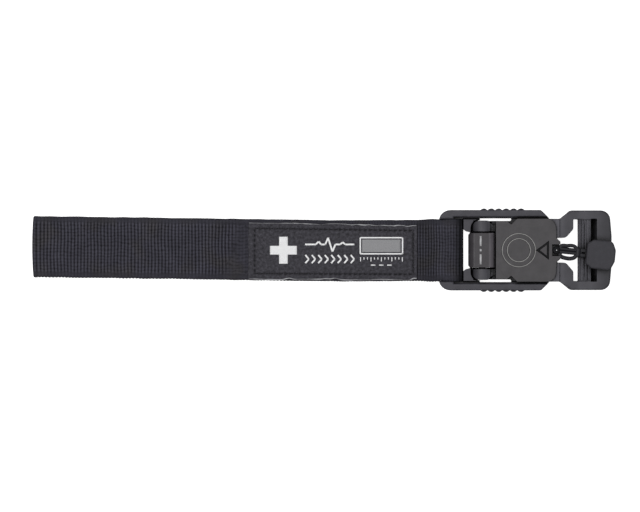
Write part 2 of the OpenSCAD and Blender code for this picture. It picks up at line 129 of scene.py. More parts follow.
# Mouldings: points closer than MERGE are joined, and edges with a sharper bend than SHARP are rounded
MERGE = 0.1
SHARP = math.radians(28.0)

# Rings and arrow on the cover, mark on the barrel
RING_X = 32.9
RING_RADII = {"outer": 6.9, "inner": 4.8}
RING_LINE = 0.34
ARROW_TIP_X = 39.9
ARROW_BACK_X = 45.4
ARROW_HALF = 3.9
ARROW_LINE = 0.88
MARK_X = 17.0

# Frame: inner face of the rails, and the box round the upper half of a lug
RAIL_Y = 13.4
LUG_X = (9.0, 15.5)
LUG_Y = (7.0, 13.25)
LUG_TOP = 6.5
LUG_FOOT = 3.01

# Webbing adjuster: where it begins, the places past which an edge is on its rim, and its upper face
ADJUSTER_X = 51.0
ADJUSTER_RIM_X = 69.5
ADJUSTER_RIM_Y = 13.2
ADJUSTER_TOP = 6.5

# Edges this close to a face's height lie in it
FLUSH = 0.01

# Pull: the post it turns about, its direction at rest, and the middle height of its arms
POST_X = 48.6
PULL_ANGLE = math.radians(-5.9)
PULL_Z = 7.4

# Patches of painted light and shade on a moulding, lighter or darker than the rest: x0, x1, half width, soft
# edge, factor
INSERT_PAINTED_LIGHT = (
    (10.0, 16.6, 30.0, 0.8, 0.68),
    (21.2, 22.1, 30.0, 0.2, 1.7),
    (22.2, 24.0, 30.0, 0.15, 0.15),
    (47.5, 51.0, 13.0, 1.2, 1.4),
    (52.6, 57.4, 30.0, 0.8, 0.84),
    (58.2, 63.0, 12.3, 0.15, 1.4),
    (63.3, 65.4, 12.6, 0.15, 0.45),
    (66.0, 76.0, 30.0, 3.0, 0.62),
)
# The barrel's steep right flank gets a painted highlight
BARREL_PAINTED_HIGHLIGHT = ((21.0, 26.0, 9.0, 0.8, 3.2),)

# Camera: SEEN_WIDTH is the width in view at the height SEEN_Z
LENS = 200.0
SENSOR_WIDTH = 36.0
SEEN_WIDTH = 266.496
SEEN_Z = 6.0
CAMERA_X = -1.56
CAMERA_Y = -2.41

# Light: the dome's strength at the horizon and overhead, and how fast it grows between them
DOME_LOW = 0.03
DOME_HIGH = 1.25
DOME_FOCUS = 2.2
FLOOR_GLOW = 0.9
FLOOR_GAP = 0.05
FLOOR_REACH = 3000.0


# ---- materials


def put(tree, node, inputs):
    """Fill a node's inputs, which are given as values or as sockets to link."""
    for name, value in inputs.items():
        if isinstance(value, bpy.types.NodeSocket):
            tree.links.new(value, node.inputs[name])
        else:
            node.inputs[name].default_value = value


def add(tree, kind, inputs=None, **settings):
    """A shader node with its settings and inputs."""
    node = tree.nodes.new(kind)
    for name, value in settings.items():
        setattr(node, name, value)
    put(tree, node, inputs or {})
    return node


def math_node(tree, operation, a, b=0.0):
    """The result of a maths operation on two values or sockets."""
    return add(tree, "ShaderNodeMath", {0: a, 1: b}, operation=operation).outputs[0]


def times(tree, product, *factors):
    """The product of values or sockets."""
    for factor in factors:
        product = math_node(tree, "MULTIPLY", product, factor)
    return product


def ramp(tree, value, low, high, low_out=0.0, high_out=1.0):
    """Maps value from low..high to low_out..high_out."""
    inputs = {"Value": value, "From Min": low, "From Max": high, "To Min": low_out, "To Max": high_out}
    return add(tree, "ShaderNodeMapRange", inputs).outputs["Result"]


def mix_colour(tree, factor, a, b):
    """From colour a at factor 0 to colour b at factor 1."""
    a, b = [(*c, 1.0) if isinstance(c, tuple) else c for c in (a, b)]
    return add(tree, "ShaderNodeMix", {"Factor": factor, 6: a, 7: b}, data_type="RGBA").outputs[2]


def noise(tree, coords, scale, detail=2.0, roughness=0.5):
    """Cloudy noise from 0 to 1 about a middle of 0.5."""
    inputs = {"Vector": coords, "Scale": scale, "Detail": detail, "Roughness": roughness}
    return add(tree, "ShaderNodeTexNoise", inputs).outputs["Fac"]


def mesh_map(tree, name):
    """A value that the mesh holds for each point."""
    return add(tree, "ShaderNodeAttribute", attribute_name=name).outputs["Fac"]


def place_map(tree):
    """The place of a point in the part's frame, in metres."""
    return add(tree, "ShaderNodeTexCoord").outputs["Object"]


def weave_map(tree):
    """The place along and across the cloth, in millimetres."""
    return add(tree, "ShaderNodeUVMap", uv_map="weave").outputs["UV"]


def new_material(name):
    """A material, its node tree and its surface node."""
    material = bpy.data.materials.new(name)
    material.use_nodes = True
    tree = material.node_tree
    return material, tree, tree.nodes["Principled BSDF"]


def fill_surface(tree, bsdf, colour, roughness, specular, height, strength, depth):
    """Fill a surface's inputs. Its bump is depth millimetres deep at full strength."""
    bump = add(tree, "ShaderNodeBump", {"Height": height, "Strength": strength, "Distance": depth * MM})
    inputs = {"Base Color": colour, "Roughness": roughness, "Specular IOR Level": specular}
    put(tree, bsdf, {**inputs, "Normal": bump.outputs["Normal"]})


def scaled(colour, factor):
    """A colour made darker or lighter."""
    return tuple(c * factor for c in colour)


def painted_crevice_shade(tree, reach, deepest):
    """Painted shade: a factor below 1 where other surfaces stand close by, which darkens the colour in gaps
    and corners.
    """
    occlusion = add(tree, "ShaderNodeAmbientOcclusion", {"Distance": reach * MM}, samples=6).outputs["AO"]
    return ramp(tree, occlusion, 0.35, 0.9, deepest, 1.0)


def dimmed(tree, colour, factor):
    """A colour socket times a factor."""
    return add(tree, "ShaderNodeVectorMath", {0: colour, "Scale": factor}, operation="SCALE").outputs[0]


def painted_light_patch(tree, coords, x0, x1, half, soft, factor):
    """Painted light and shade: factor inside a rectangle of the buckle, 1 outside it, with soft edges;
    lengths in mm.
    """
    split = add(tree, "ShaderNodeSeparateXYZ", {"Vector": coords})
    x = math_node(tree, "SUBTRACT", math_node(tree, "DIVIDE", split.outputs["X"], MM), BUCKLE_X)
    y = math_node(tree, "ABSOLUTE", math_node(tree, "DIVIDE", split.outputs["Y"], MM))
    after, before = ramp(tree, x, x0 - soft, x0 + soft), ramp(tree, x, x1 + soft, x1 - soft)
    inside = times(tree, after, before, ramp(tree, y, half + soft, half - soft))
    return ramp(tree, inside, 0.0, 1.0, 1.0, factor)


def moulded_plastic(name, colour, roughness=0.5, grain=0.35, wear=0.25, reach=3.0, deepest=0.05, painted_patches=()):
    """Satin moulded plastic: spark-eroded grain, faint mottling, edges rubbed a little lighter, and painted
    shade in gaps and corners.
    Its last argument lists patches (x0, x1, half width, soft edge, factor) of the buckle with painted light
    and shade, lighter or darker."""
    material, tree, bsdf = new_material(name)
    coords = place_map(tree)
    mottle = noise(tree, coords, 260.0, 4.0)
    fine = noise(tree, coords, 5200.0, 2.0)
    coarse = noise(tree, coords, 1700.0, 3.0)
    rounded = mesh_map(tree, "rounded")
    edge = times(tree, rounded, ramp(tree, mottle, 0.35, 0.65))
    base = mix_colour(tree, ramp(tree, mottle, 0.3, 0.7), scaled(colour, 0.9), scaled(colour, 1.1))
    worn = mix_colour(tree, times(tree, edge, wear), base, scaled(colour, 2.0))
    # Painted shade in gaps and corners, times the patches of painted light and shade
    tone = painted_crevice_shade(tree, reach, deepest)
    for patch in painted_patches:
        tone = times(tree, tone, painted_light_patch(tree, coords, *patch))
    uneven = ramp(tree, coarse, 0.3, 0.7, roughness - 0.06, roughness + 0.08)
    height = math_node(tree, "ADD", fine, times(tree, coarse, 0.6))
    fill_surface(tree, bsdf, dimmed(tree, worn, tone), uneven, 0.25, height, grain, 0.04)
    return material


def soft_rubber(name, colour, roughness=0.62):
    """Matt rubber with a fine skin, a little dust, and painted shade in gaps and corners."""
    material, tree, bsdf = new_material(name)
    coords = place_map(tree)
    dust = ramp(tree, noise(tree, coords, 700.0, 6.0, 0.65), 0.45, 0.75)
    base = mix_colour(tree, times(tree, dust, 0.3), colour, scaled(colour, 1.7))
    fine = noise(tree, coords, 3600.0, 2.0)
    # The base colour is dimmed by painted shade in gaps and corners
    fill_surface(tree, bsdf, dimmed(tree, base, painted_crevice_shade(tree, 2.0, 0.2)), roughness, 0.2, fine, 0.25, 0.03)
    return material


def brushed_metal(name, colour, roughness=0.32):
    """Metal with fine streaks along one direction."""
    material, tree, bsdf = new_material(name)
    coords = place_map(tree)
    stretched = add(tree, "ShaderNodeMapping", {"Vector": coords, "Scale": (1.0, 14.0, 1.0)}).outputs[0]
    streaks = noise(tree, stretched, 900.0, 3.0)
    base = mix_colour(tree, streaks, scaled(colour, 0.75), scaled(colour, 1.15))
    uneven = ramp(tree, streaks, 0.3, 0.7, roughness - 0.08, roughness + 0.1)
    put(tree, bsdf, {"Base Color": base, "Roughness": uneven, "Metallic": 1.0})
    return material


def woven_webbing(name, colour):
    """Nylon webbing. The mesh carries the cross ribs; the warp yarns and their fibres are drawn here.
    The weave map's U runs along the webbing and its V across it, both in millimetres. A mesh map of painted
    shade darkens it a little between label and strap bar, and strongly where it turns down round the bar.
    The ribs' valleys are painted in shade and their crests painted lighter."""
    material, tree, bsdf = new_material(name)
    weave = weave_map(tree)
    split = add(tree, "ShaderNodeSeparateXYZ", {"Vector": weave})
    crest = mesh_map(tree, "crest")
    selvedge = mesh_map(tree, "selvedge")

    # The warp yarns dive between the ribs, which dents the valleys more than it marks the ridges; the
    # valleys and their dents are painted in shade, and the rib ridges painted lighter as highlights
    drift = ramp(tree, noise(tree, weave, 0.22, 2.0), 0.0, 1.0, 0.0, 1.6)
    yarn = math_node(tree, "ADD", math_node(tree, "DIVIDE", split.outputs["Y"], YARN_PITCH), drift)
    yarn_wave = math_node(tree, "SINE", times(tree, yarn, 2 * math.pi))
    yarn_height = ramp(tree, yarn_wave, -1.0, 1.0)

    fibre_map = add(tree, "ShaderNodeMapping", {"Vector": weave, "Scale": (1.2, 9.0, 1.0)}).outputs[0]
    fibres = noise(tree, fibre_map, 1.0, 3.0, 0.6)
    patches = noise(tree, weave, 0.16, 2.0)
    blotches = noise(tree, weave, 0.75, 2.0)

    uneven = ramp(tree, blotches, 0.35, 0.65, 0.25, 1.0)
    pit_shade = times(tree, ramp(tree, yarn_height, 0.25, 1.0), uneven)
    valley_shade = mix_colour(tree, pit_shade, scaled(colour, 0.62), scaled(colour, 0.02))
    ridge_highlight = mix_colour(tree, pit_shade, scaled(colour, 2.1), scaled(colour, 1.2))
    shade = mix_colour(tree, ramp(tree, crest, 0.3, 0.95), valley_shade, ridge_highlight)
    edge_shade = mix_colour(tree, ramp(tree, fibres, 0.3, 0.7), scaled(colour, 0.75), scaled(colour, 1.3))
    shade = mix_colour(tree, selvedge, shade, edge_shade)
    washed = ramp(tree, noise(tree, weave, 0.07, 2.0), 0.52, 0.66)
    faded = mix_colour(tree, washed, (1.0, 1.0, 1.0), (1.04, 1.01, 0.88))
    shade = add(tree, "ShaderNodeVectorMath", {0: shade, 1: faded}, operation="MULTIPLY").outputs[0]
    lit = ramp(tree, patches, 0.3, 0.7, 0.86, 1.14)
    fibre_lit = ramp(tree, fibres, 0.25, 0.75, 0.75, 1.25)
    # Painted shade: darker where the webbing turns down round the strap bar, a little darker before it, and
    # darker in gaps
    painted_shade = mesh_map(tree, "painted_shade")
    bright = times(tree, ramp(tree, painted_shade, 0.0, 1.0, 1.0, 0.3), painted_crevice_shade(tree, 2.5, 0.4))
    tone = times(tree, lit, fibre_lit, bright)
    height = math_node(tree, "ADD", yarn_height, times(tree, fibres, 0.9))
    fill_surface(tree, bsdf, dimmed(tree, shade, tone), 0.75, 0.12, height, 0.6, 0.09)
    return material


def woven_label(name, colour):
    """Fine satin weave of the label cloth, with painted shade along its pressed-down seam."""
    material, tree, bsdf = new_material(name)
    weave = weave_map(tree)
    turned = add(tree, "ShaderNodeMapping", {"Vector": weave, "Rotation": (0.0, 0.0, 0.5)}).outputs[0]
    wave = {"Vector": turned, "Scale": 0.9, "Distortion": 0.4, "Detail": 1.0}
    twill = add(tree, "ShaderNodeTexWave", wave).outputs["Fac"]
    fibre_map = add(tree, "ShaderNodeMapping", {"Vector": weave, "Scale": (8.0, 1.6, 1.0)}).outputs[0]
    fibres = noise(tree, fibre_map, 1.0, 3.0, 0.6)
    specks = noise(tree, weave, 0.85, 3.0, 0.7)
    base = mix_colour(tree, ramp(tree, fibres, 0.3, 0.7), scaled(colour, 0.65), scaled(colour, 1.35))
    base = dimmed(tree, base, ramp(tree, specks, 0.3, 0.7, 0.4, 1.6))
    # Painted shade along the pressed-down seam
    seam_shade = mesh_map(tree, "seam_shade")
    base = mix_colour(tree, seam_shade, base, scaled(colour, 0.12))
    fill_surface(tree, bsdf, base, 0.7, 0.15, math_node(tree, "ADD", twill, fibres), 0.35, 0.05)
    return material


def sewing_thread(name, colour, faded=None):
    """Twisted thread: fine slanting plies over the base colour, which goes over to faded in places."""
    material, tree, bsdf = new_material(name)
    coords = place_map(tree)
    wave = {"Vector": coords, "Scale": 1600.0, "Distortion": 2.0}
    plies = add(tree, "ShaderNodeTexWave", wave, bands_direction="DIAGONAL").outputs["Fac"]
    base = mix_colour(tree, plies, scaled(colour, 0.65), scaled(colour, 1.2))
    if faded:
        places = noise(tree, coords, 150.0, 3.0, 0.6)
        base = mix_colour(tree, ramp(tree, places, 0.4, 0.58), base, faded)
    fill_surface(tree, bsdf, base, 0.6, 0.15, plies, 0.5, 0.04)
    return material


FRAME_PLASTIC = moulded_plastic("frame_plastic", (0.0495, 0.048, 0.057), reach=2.0)
INSERT_PLASTIC = moulded_plastic("insert_plastic", (0.062, 0.0605, 0.07), reach=3.2, painted_patches=INSERT_PAINTED_LIGHT)
COVER_PLASTIC = moulded_plastic("cover_plastic", (0.06, 0.057, 0.0605), roughness=0.56, grain=0.45)
BARREL_PLASTIC = moulded_plastic(
    "barrel_plastic", (0.046, 0.0425, 0.047), roughness=0.42, deepest=0.8, painted_patches=BARREL_PAINTED_HIGHLIGHT)
SLIDER_PLASTIC = moulded_plastic("slider_plastic", (0.03, 0.03, 0.032), roughness=0.4)
# Near-black painted shade that fills engraved grooves
RECESS_SHADE = moulded_plastic("painted_recess_shade", (0.005, 0.005, 0.006), roughness=0.8, wear=0.0)
MARK_PLASTIC = moulded_plastic("mark_plastic", (0.3, 0.295, 0.29), roughness=0.5, wear=0.0, deepest=0.9)
PRINT_INK = moulded_plastic("print_ink", (0.4, 0.4, 0.41), roughness=0.5, wear=0.0, deepest=0.9)
PIN_STEEL = brushed_metal("pin_steel", (0.5, 0.5, 0.51))
POST_STEEL = brushed_metal("post_steel", (0.012, 0.012, 0.013), 0.5)
MAGNET_PLATE = brushed_metal("magnet_plate", (0.62, 0.61, 0.58), 0.22)
PULL_RUBBER = soft_rubber("pull_rubber", (0.016, 0.016, 0.019), 0.5)
KNOB_RUBBER = soft_rubber("knob_rubber", (0.0395, 0.0385, 0.045))
WEBBING = woven_webbing("webbing", (0.0245, 0.0238, 0.0315))
LABEL_CLOTH = woven_label("label_cloth", (0.0385, 0.037, 0.0445))
BLACK_THREAD = sewing_thread("black_thread", (0.011, 0.011, 0.013))
BOX_THREAD = sewing_thread("box_thread", (0.026, 0.0255, 0.033))
PALE_THREAD = sewing_thread("pale_thread", (0.42, 0.42, 0.44), faded=(0.15, 0.148, 0.16))
WHITE_THREAD = sewing_thread("white_thread", (0.85, 0.85, 0.86))
PANEL_THREAD = sewing_thread("panel_thread", (0.3, 0.3, 0.31))


# ---- meshes


def linked(name, data):
    """A new object in the scene."""
    obj = bpy.data.objects.new(name, data)
    bpy.context.scene.collection.objects.link(obj)
    return obj


def give_material(mesh, material):
    mesh.materials.clear()
    mesh.materials.append(material)


def mesh_object(name, points, faces, material):
    """A smooth mesh from points in millimetres, placed in the part's frame."""
    mesh = bpy.data.meshes.new(name)
    mesh.from_pydata([tuple(p) for p in np.asarray(points) * MM], [], [tuple(f) for f in faces])
    give_material(mesh, material)
    mesh.shade_smooth()
    return linked(name, mesh)


def clean(mesh):
    """Turn all faces outward and delete the points that no face uses."""
    work = bmesh.new()
    work.from_mesh(mesh)
    bmesh.ops.recalc_face_normals(work, faces=work.faces)
    bmesh.ops.delete(work, geom=[v for v in work.verts if not v.link_faces], context="VERTS")
    work.to_mesh(mesh)
    work.free()
    mesh.shade_smooth()


def write_map(mesh, name, values):
    """A value for each point, which a material reads by name."""
    attribute = mesh.attributes.new(name, "FLOAT", "POINT")
    attribute.data.foreach_set("value", values.astype(np.float32).ravel())


def write_weave(mesh, along, across):
    """The weave map: for each point, its place along and across the cloth in millimetres."""
    uv = mesh.uv_layers.new(name="weave")
    corner_points = np.zeros(len(mesh.loops), np.int64)
    mesh.loops.foreach_get("vertex_index", corner_points)
    flat = np.stack([along.ravel(), across.ravel()], axis=1)
    uv.data.foreach_set("uv", flat[corner_points].astype(np.float32).ravel())


def moulded(node, material, body, rounding, wide=None, spared=None, steps=3):
    """A copy of a CAD node with its sharp edges rounded, which stands for the node.
    wide is (test, rounding) for the edges that are rounded more: the test takes an edge's two ends in mm.
    spared is a test for the edges and faces that are left sharp and flat."""
    mesh = nodes[node].data.copy()
    give_material(mesh, material)
    work = bmesh.new()
    work.from_mesh(mesh)
    rounded = work.faces.layers.float.new("rounded")
    bmesh.ops.remove_doubles(work, verts=work.verts, dist=MERGE * MM)
    bmesh.ops.dissolve_limit(work, angle_limit=math.radians(0.6), verts=work.verts, edges=work.edges)
    if wide:
        test, width = wide
        chosen = [e for e in sharp_edges(work) if test(*[(v.co / MM) for v in e.verts])]
        round_edges(work, chosen, width, steps + 1, rounded)
    chosen = sharp_edges(work)
    if spared:
        chosen = [e for e in chosen if not spared(*[(v.co / MM) for v in e.verts])]
    round_edges(work, chosen, rounding, steps, rounded)
    bmesh.ops.triangulate(work, faces=[f for f in work.faces if len(f.verts) > 4])
    bmesh.ops.recalc_face_normals(work, faces=work.faces)
    work.to_mesh(mesh)
    work.free()
    mesh.shade_smooth()
    mesh.set_sharp_from_angle(angle=math.radians(34.0))
    if spared:
        for face in mesh.polygons:
            face.use_smooth = not spared(*[mesh.vertices[i].co / MM for i in face.vertices])
    obj = linked(node + "_moulded", mesh)
    weighted = obj.modifiers.new("flat faces stay flat", "WEIGHTED_NORMAL")
    weighted.keep_sharp = True
    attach(obj, body)
    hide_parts(node)


def sharp_edges(work):
    """The edges where two faces meet at an angle."""
    return [e for e in work.edges if len(e.link_faces) == 2 and e.calc_face_angle(0.0) > SHARP]


def round_edges(work, chosen, width, steps, rounded):
    """Bevel the chosen edges, and mark the new faces in the layer rounded."""
    made = bmesh.ops.bevel(
        work, geom=chosen, offset=width * MM, offset_type="OFFSET", segments=steps, profile=0.5,
        affect="EDGES", clamp_overlap=False, miter_outer="SHARP", miter_inner="SHARP", loop_slide=True,
    )
    for face in made["faces"]:
        face[rounded] = 1.0


# ---- webbing


def waves(u, v, seed, count, lowest, highest):
    """Smooth irregularity of about unit size, as a sum of waves with seeded directions and phases."""
    rng = np.random.default_rng(seed)
    total = 0.0
    for _ in range(count):
        size = rng.uniform(lowest, highest)
        turn, phase = rng.uniform(0, 2 * math.pi, 2)
        total = total + np.sin(2 * math.pi * size * (u * math.cos(turn) + v * math.sin(turn)) + phase)
    return total / math.sqrt(count)


def sway(x):
    """How far the strap lies off the straight, across its length."""
    known_x = [-170.0, -125.0, -79.0, -41.0, 0.0, 20.0]
    known_y = [1.55, 0.98, 0.3, -0.22, 0.0, 0.0]
    return np.interp(x, known_x, known_y)


def rounded_path(points, radius):
    """A path in the XZ plane with its corners rounded."""
    steps = 8
    path = [points[0]]
    for before, corner, after in zip(points, points[1:], points[2:]):
        a, b, c = Vector(before), Vector(corner), Vector(after)
        reach = min(radius, (a - b).length * 0.45, (c - b).length * 0.45)
        start, end = b + (a - b).normalized() * reach, b + (c - b).normalized() * reach
        for i in range(steps + 1):
            t = i / steps
            path.append(tuple(start * (1 - t) ** 2 + b * 2 * t * (1 - t) + end * t**2))
    path.append(points[-1])
    return path


def half_circle(centre, radius, start, end):
    """Points in the XZ plane on a circle, from the angle start to the angle end in degrees."""
    angles = np.radians(np.linspace(start, end, 25))
    return [(centre[0] + radius * math.cos(a), centre[1] + radius * math.sin(a)) for a in angles]


def resample(path, step):
    """Points at even distances along a path, their unit tangents and their distances."""
    p = np.array(path, float)
    lengths = np.concatenate([[0.0], np.cumsum(np.linalg.norm(np.diff(p, axis=0), axis=1))])
    count = int(round(lengths[-1] / step))
    s = np.linspace(0.0, lengths[-1], count + 1)
    points = np.stack([np.interp(s, lengths, p[:, 0]), np.interp(s, lengths, p[:, 1])], axis=1)
    tangents = np.gradient(points, s, axis=0)
    tangents /= np.linalg.norm(tangents, axis=1)[:, None]
    return points, tangents, s


def webbing(path, side, rib_fade, seed, pull=1.0):
    """A strip of webbing along a path. side is 1 if the outer face is to the left of the path, else -1.
    rib_fade gives the share of the rib height from the distance along the path, the X and the place across.
    pull below 1 packs the ribs closer."""
    centre, tangent, s = resample(path, SECTION_STEP)
    normal = side * np.stack([-tangent[:, 1], tangent[:, 0]], axis=1)
    half = WEB_W / 2
    # Rounded edge of the section: distance in from the edge, and share of half the thickness
    edge_rows = [(0.0, 0.0), (0.06, 0.42), (0.22, 0.74), (0.5, 0.93), (0.95, 1.0)]
    inner_rows = np.linspace(half - 1.9, -half + 1.9, 10)
    outer_rows = np.linspace(-half + 1.9, half - 1.9, 24)
    rows = [(-half + d, h) for d, h in edge_rows] + [(y, 1.0) for y in outer_rows]
    rows += [(half - d, h) for d, h in reversed(edge_rows)]
    rows += [(half - d, -h) for d, h in edge_rows[1:]] + [(y, -1.0) for y in inner_rows]
    rows += [(-half + d, -h) for d, h in reversed(edge_rows[1:])]
    y = np.array([r[0] for r in rows])[None, :]
    side_share = np.array([r[1] for r in rows])[None, :]

    u = s[:, None] / pull + 0.13 * waves(s[:, None], y, seed, 7, 0.01, 0.09)
    crest = np.abs(np.cos(np.pi * u / RIB_PITCH)) ** 0.9
    edge_share = np.clip((np.abs(y) - (half - SELVEDGE)) / 0.7, 0.0, 1.0)
    fade = rib_fade(s[:, None], centre[:, :1], y)
    height = RIB_HEIGHT * (1 + 0.22 * waves(s[:, None], y, seed + 1, 6, 0.03, 0.3)) * fade
    height = height * (1 - 0.72 * edge_share) * np.clip(side_share, 0.12, 1.0)
    lift = height * (crest - 0.75)

    scallop = np.where(y > 0, 0.05, 0.34)
    across = y + scallop * (crest - 0.5) * np.sign(y) * (np.abs(y) > half - 0.6)
    wander = waves(s[:, None], 0.0, seed + 2, 6, 0.02, 0.2)
    across = across + 0.07 * np.sign(y) * wander * (np.abs(y) > 9)
    offset = side_share * (WEB_T / 2) + lift * np.sign(side_share)
    x = centre[:, :1] + normal[:, :1] * offset
    z = centre[:, 1:] + normal[:, 1:] * offset
    across = across * (1 + 0.022 * smoothstep(x, -10.0, -2.0))
    return x, across, z, u, FLAT_CREST + (crest - FLAT_CREST) * fade, edge_share, s


def webbing_object(name, parts, bow=None):
    """The mesh of a webbing strip, with the maps its material reads. bow moves points along X."""
    x, across, z, u, crest, edge_share, s = parts
    stations, around = x.shape[0], np.broadcast_to(across, x.shape).shape[1]
    y = across + sway(x)
    if bow is not None:
        x = x + bow(s[:, None], across)
    points = np.stack([x + BUCKLE_X, y, z], axis=2).reshape(-1, 3)
    index = np.arange(stations * around).reshape(stations, around)
    a, b = index[:-1], index[1:]
    faces = np.stack([a, np.roll(a, -1, 1), np.roll(b, -1, 1), b], axis=2).reshape(-1, 4)
    caps = [list(reversed(index[0])), list(index[-1])]
    obj = mesh_object(name, points, [list(f) for f in faces] + caps, WEBBING)
    mesh = obj.data
    # Painted shade a little before the strap bar, and strongly where the webbing turns down round it
    shade_before_bar = smoothstep(x, -9.8, -8.8) - smoothstep(x, -2.5, 0.0)
    write_map(mesh, "crest", np.broadcast_to(crest, x.shape))
    write_map(mesh, "selvedge", np.broadcast_to(edge_share, x.shape) * 0.75)
    write_map(mesh, "painted_shade", smoothstep(x, 5.0, 8.6) + 0.25 * shade_before_bar)
    write_weave(mesh, np.broadcast_to(u, x.shape), np.broadcast_to(across, x.shape))
    clean(mesh)
    return obj


def smoothstep(x, low, high):
    """0 below low, 1 above high, and a smooth step between them."""
    t = np.clip((x - low) / (high - low), 0.0, 1.0)
    return t * t * (3 - 2 * t)


def buckle_end_ribs(_s, x, _y):
    """Full ribs, stretched flatter where the webbing lies on the strap bar."""
    on_bar = smoothstep(x, -1.0, 1.5) * (1 - smoothstep(x, 6.0, 8.0))
    return 1.1 - 0.5 * on_bar


def far_end_ribs(s, x, y):
    """Ribs pressed nearly flat beside the label, where the turned-back layer is sewn down."""
    edge = PRESSED_X + 0.25 * y
    pressed = 1.0 - 0.85 * smoothstep(x - edge, -3.0, 1.5)
    return np.where(s < FOLD_S, pressed, 1.0)


def fold_bow(s, across):
    """The folded end bulges a little in the middle of the webbing's width."""
    return -0.45 * (1 - (across / (WEB_W / 2)) ** 2) * np.exp(-(((s - FOLD_S) / 5.0) ** 2))


def make_buckle_end():
    """The strip that runs over the strap bar, round its end and back under the main run."""
    over_bar = [(SEAM_X, RUN_Z), (SLOPE_X, RUN_Z), (BAR_START, BAR_Z + BAR_LOOP_R)]
    under_bar = [(BAR_START, BAR_Z - BAR_LOOP_R), (SLOPE_X, TURN_Z), (TURNBACK_END, TURN_Z)]
    bend = half_circle((BAR_END, BAR_Z), BAR_LOOP_R, 90, -90)
    above = rounded_path(over_bar + [bend[0]], SLOPE_R)[:-1]
    below = rounded_path([bend[-1]] + under_bar, SLOPE_R)[1:]
    path = above + bend + below
    loop = webbing_object("webbing_buckle_end", webbing(path, 1, buckle_end_ribs, 11, 0.84))
    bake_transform(loop)
    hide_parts("strap_loop", "strap_turnback")


def make_far_end():
    """The strip that runs from under the label to the far fold, and back under itself as the tail."""
    fold_r = (RUN_Z - TAIL_Z) / 2
    fold_z = (RUN_Z + TAIL_Z) / 2
    path = [(SEAM_X, RUN_Z)] + half_circle((FOLD_X, fold_z), fold_r, 90, 270) + [(TAIL_END, TAIL_Z)]
    far = webbing_object("webbing_far_end", webbing(path, -1, far_end_ribs, 11), fold_bow)
    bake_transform(far)
    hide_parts("strap_run", "strap_fold", "strap_tail")


# ---- label and seams


def label_share(x):
    """0 at the label's left end, 1 at its right end."""
    return (x - LABEL_X0) / (LABEL_X1 - LABEL_X0)


def label_edge(x, side):
    """Y of the label's upper (side 1) or lower (side -1) edge, which puckers between the stitches."""
    rng = np.random.default_rng(61 + side)
    pulled = 0.0
    for place_x in rng.uniform(LABEL_X0 + 14, LABEL_X1, 9):
        pulled = pulled + rng.uniform(0.1, 0.6) * np.exp(-(((x - place_x) / rng.uniform(0.8, 1.9)) ** 2))
    return label_side(label_share(x), side) - side * pulled + 0.12 * waves(x, 0.0, 21 + side, 6, 0.02, 0.1)


def label_side(share, side):
    """Y of a straight line along the label's edge, at a share of the label's length."""
    if side > 0:
        return LABEL_UPPER_Y - LABEL_UPPER_FALL * share
    return LABEL_LOWER_Y - LABEL_LOWER_FALL * share


def seam_line(share, side):
    """Y of the label's upper or lower seam, at a share of the label's length."""
    return label_side(share, side) - side * SEAM_INSET


def seam_distance(x, y):
    """Distance from the label's seam, and the distance along it."""
    upper = seam_line(label_share(x), 1) - y
    lower = y - seam_line(label_share(x), -1)
    left = x - (LABEL_X0 + SEAM_LEFT)
    right = (LABEL_X1 - SEAM_RIGHT) - x
    inside = np.minimum(np.minimum(upper, lower), np.minimum(left, right))
    along = np.where(np.minimum(upper, lower) < np.minimum(left, right), x, y)
    return np.abs(inside), along


def label_height(x, y):
    """Height of the label cloth: pressed down along its seam and puckered between the stitches."""
    distance, along = seam_distance(x, y)
    pucker = 0.5 + 0.5 * np.cos(2 * math.pi * along / STITCH_PITCH)
    soft = 0.06 * waves(x, y, 5, 8, 0.03, 0.16) + 0.03 * waves(x, y, 6, 8, 0.2, 0.5)
    for crease_x in CREASES_X:
        off = (x - crease_x) * 0.6 - (y - CREASE_Y) * 0.8
        soft = soft + 0.13 * np.exp(-((off / 0.3) ** 2) - ((y - CREASE_Y) / 2.2) ** 2)
    return LABEL_T - 0.24 * np.exp(-((distance / 0.6) ** 2)) * (0.5 + 0.5 * pucker) + soft


